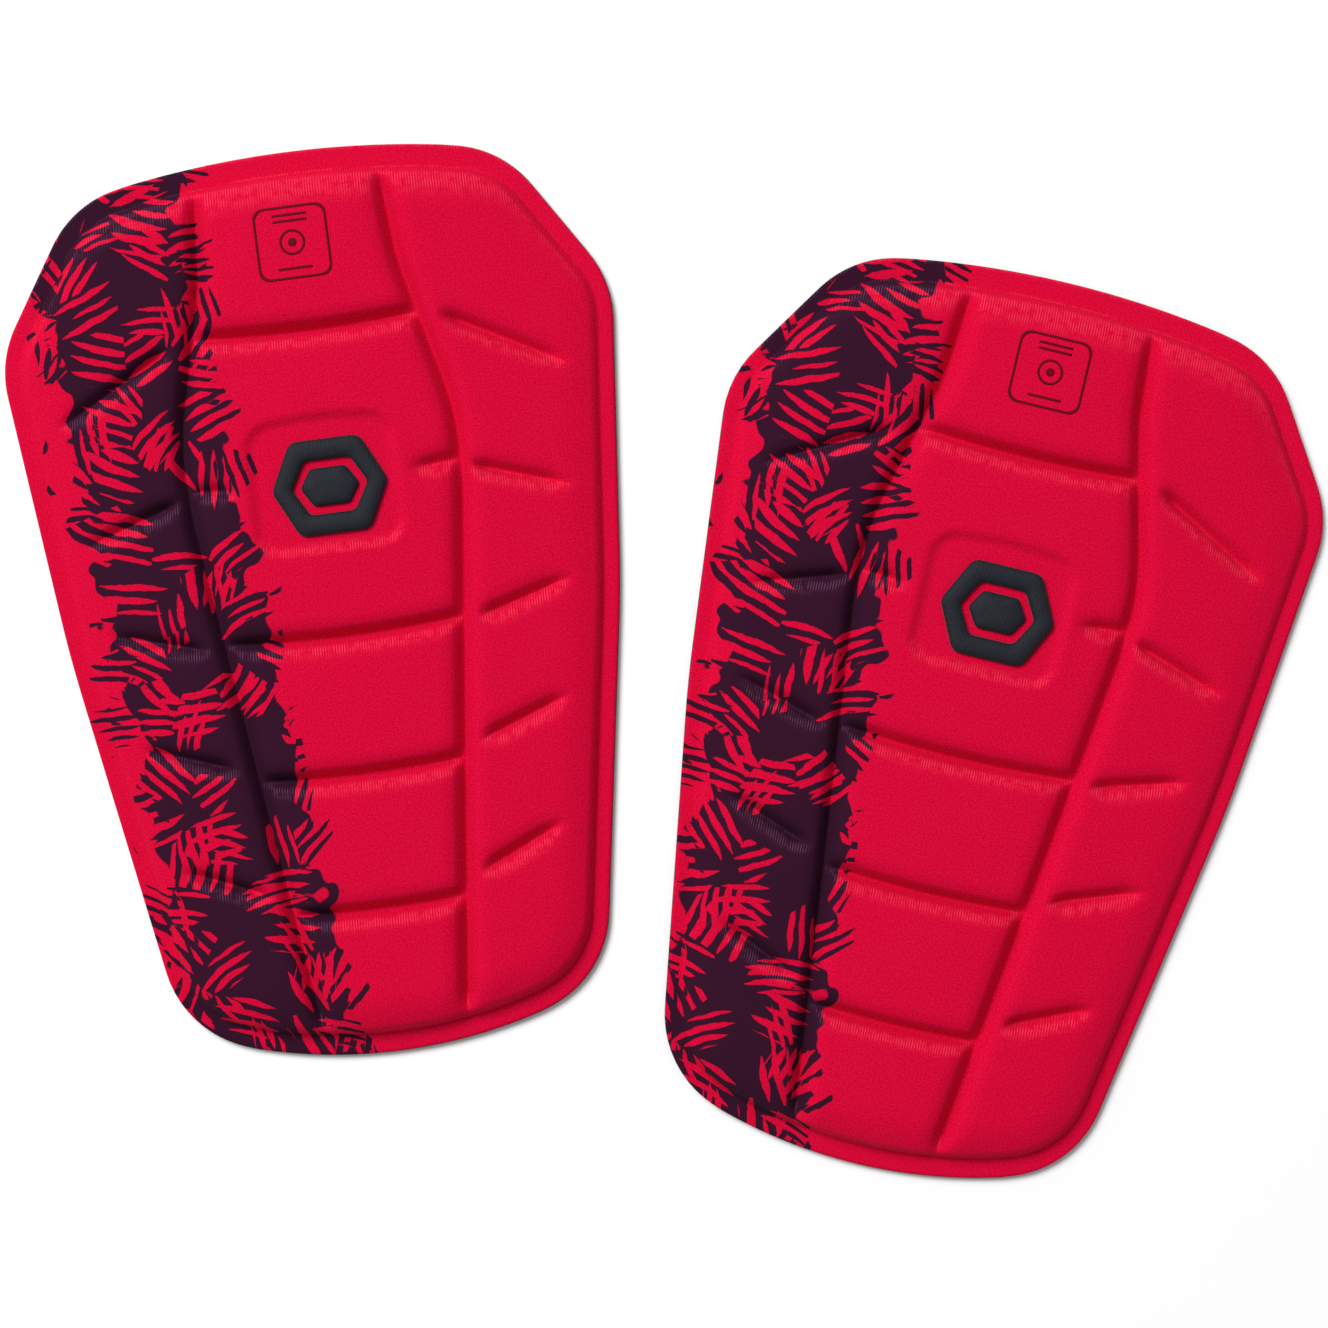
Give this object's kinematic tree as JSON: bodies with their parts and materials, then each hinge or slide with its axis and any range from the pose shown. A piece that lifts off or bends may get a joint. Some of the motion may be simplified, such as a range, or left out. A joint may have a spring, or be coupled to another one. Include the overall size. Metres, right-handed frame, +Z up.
{
  "type": "pair of soft shin guards",
  "caption": "Soft slip-in shin guards: foam cells and side pads sealed between a printed knit face and a dark liner; the side pads fold back round the shin.",
  "frame": {"origin": "centre of the pair's outline on the surface the guards lie on", "axes": "+Z up, out of the printed face; +Y towards the knee end of the guards, roughly; +X to the right across the pair"},
  "size_m": [0.3056, 0.2398, 0.0103],
  "materials": {
    "face_fabric": "fine stretch knit, crimson with a dark brushed print band",
    "back_liner": "dark brushed knit",
    "foam": "moulded impact foam",
    "badge": "raised knit over foam, matt black",
    "label": "thin heat-transfer film"
  },
  "bodies": {
    "left_guard_middle": {"left_guard_back_center": "back_liner", "left_guard_face_center": "face_fabric", "left_guard_top_cell": "foam", "left_guard_badge_cell": "foam", "left_guard_third_cell": "foam", "left_guard_fourth_cell": "foam", "left_guard_bottom_cell": "foam", "left_guard_badge_ring": "badge", "left_guard_badge_core": "badge", "left_guard_label": "label"},
    "left_guard_left_wing": {"left_guard_back_left_wing": "back_liner", "left_guard_face_left_wing": "face_fabric", "left_guard_left_side_pad": "foam"},
    "left_guard_right_wing": {"left_guard_back_right_wing": "back_liner", "left_guard_face_right_wing": "face_fabric", "left_guard_right_side_pad": "foam"},
    "right_guard_middle": {"right_guard_back_center": "back_liner", "right_guard_face_center": "face_fabric", "right_guard_top_cell": "foam", "right_guard_badge_cell": "foam", "right_guard_third_cell": "foam", "right_guard_fourth_cell": "foam", "right_guard_bottom_cell": "foam", "right_guard_badge_ring": "badge", "right_guard_badge_core": "badge", "right_guard_label": "label"},
    "right_guard_left_wing": {"right_guard_back_left_wing": "back_liner", "right_guard_face_left_wing": "face_fabric", "right_guard_left_side_pad": "foam"},
    "right_guard_right_wing": {"right_guard_back_right_wing": "back_liner", "right_guard_face_right_wing": "face_fabric", "right_guard_right_side_pad": "foam"}
  },
  "joints": [
    {"name": "left_guard_left_wing_fold", "type": "hinge", "parent": "left_guard_middle", "child": "left_guard_left_wing", "pos_m": [-0.09926, 0.01056, 0], "axis": [0.17, -0.9854, 0], "range_deg": [0, 45], "stiffness_Nm_per_rad": 0.1},
    {"name": "left_guard_right_wing_fold", "type": "hinge", "parent": "left_guard_middle", "child": "left_guard_right_wing", "pos_m": [-0.04968, 0.01708, 0], "axis": [-0.0908, 0.9959, 0], "range_deg": [0, 45], "stiffness_Nm_per_rad": 0.1},
    {"name": "right_guard_lift", "type": "slide", "parent": "left_guard_middle", "child": "right_guard_middle", "axis": [0, 0, 1], "range_m": [0, 0.15]},
    {"name": "right_guard_left_wing_fold", "type": "hinge", "parent": "right_guard_middle", "child": "right_guard_left_wing", "pos_m": [0.04492, -0.00864, 0], "axis": [-0.1944, -0.9809, 0], "range_deg": [0, 45], "stiffness_Nm_per_rad": 0.1},
    {"name": "right_guard_right_wing_fold", "type": "hinge", "parent": "right_guard_middle", "child": "right_guard_right_wing", "pos_m": [0.09354, -0.02032, 0], "axis": [0.2721, 0.9623, 0], "range_deg": [0, 45], "stiffness_Nm_per_rad": 0.1}
  ]
}
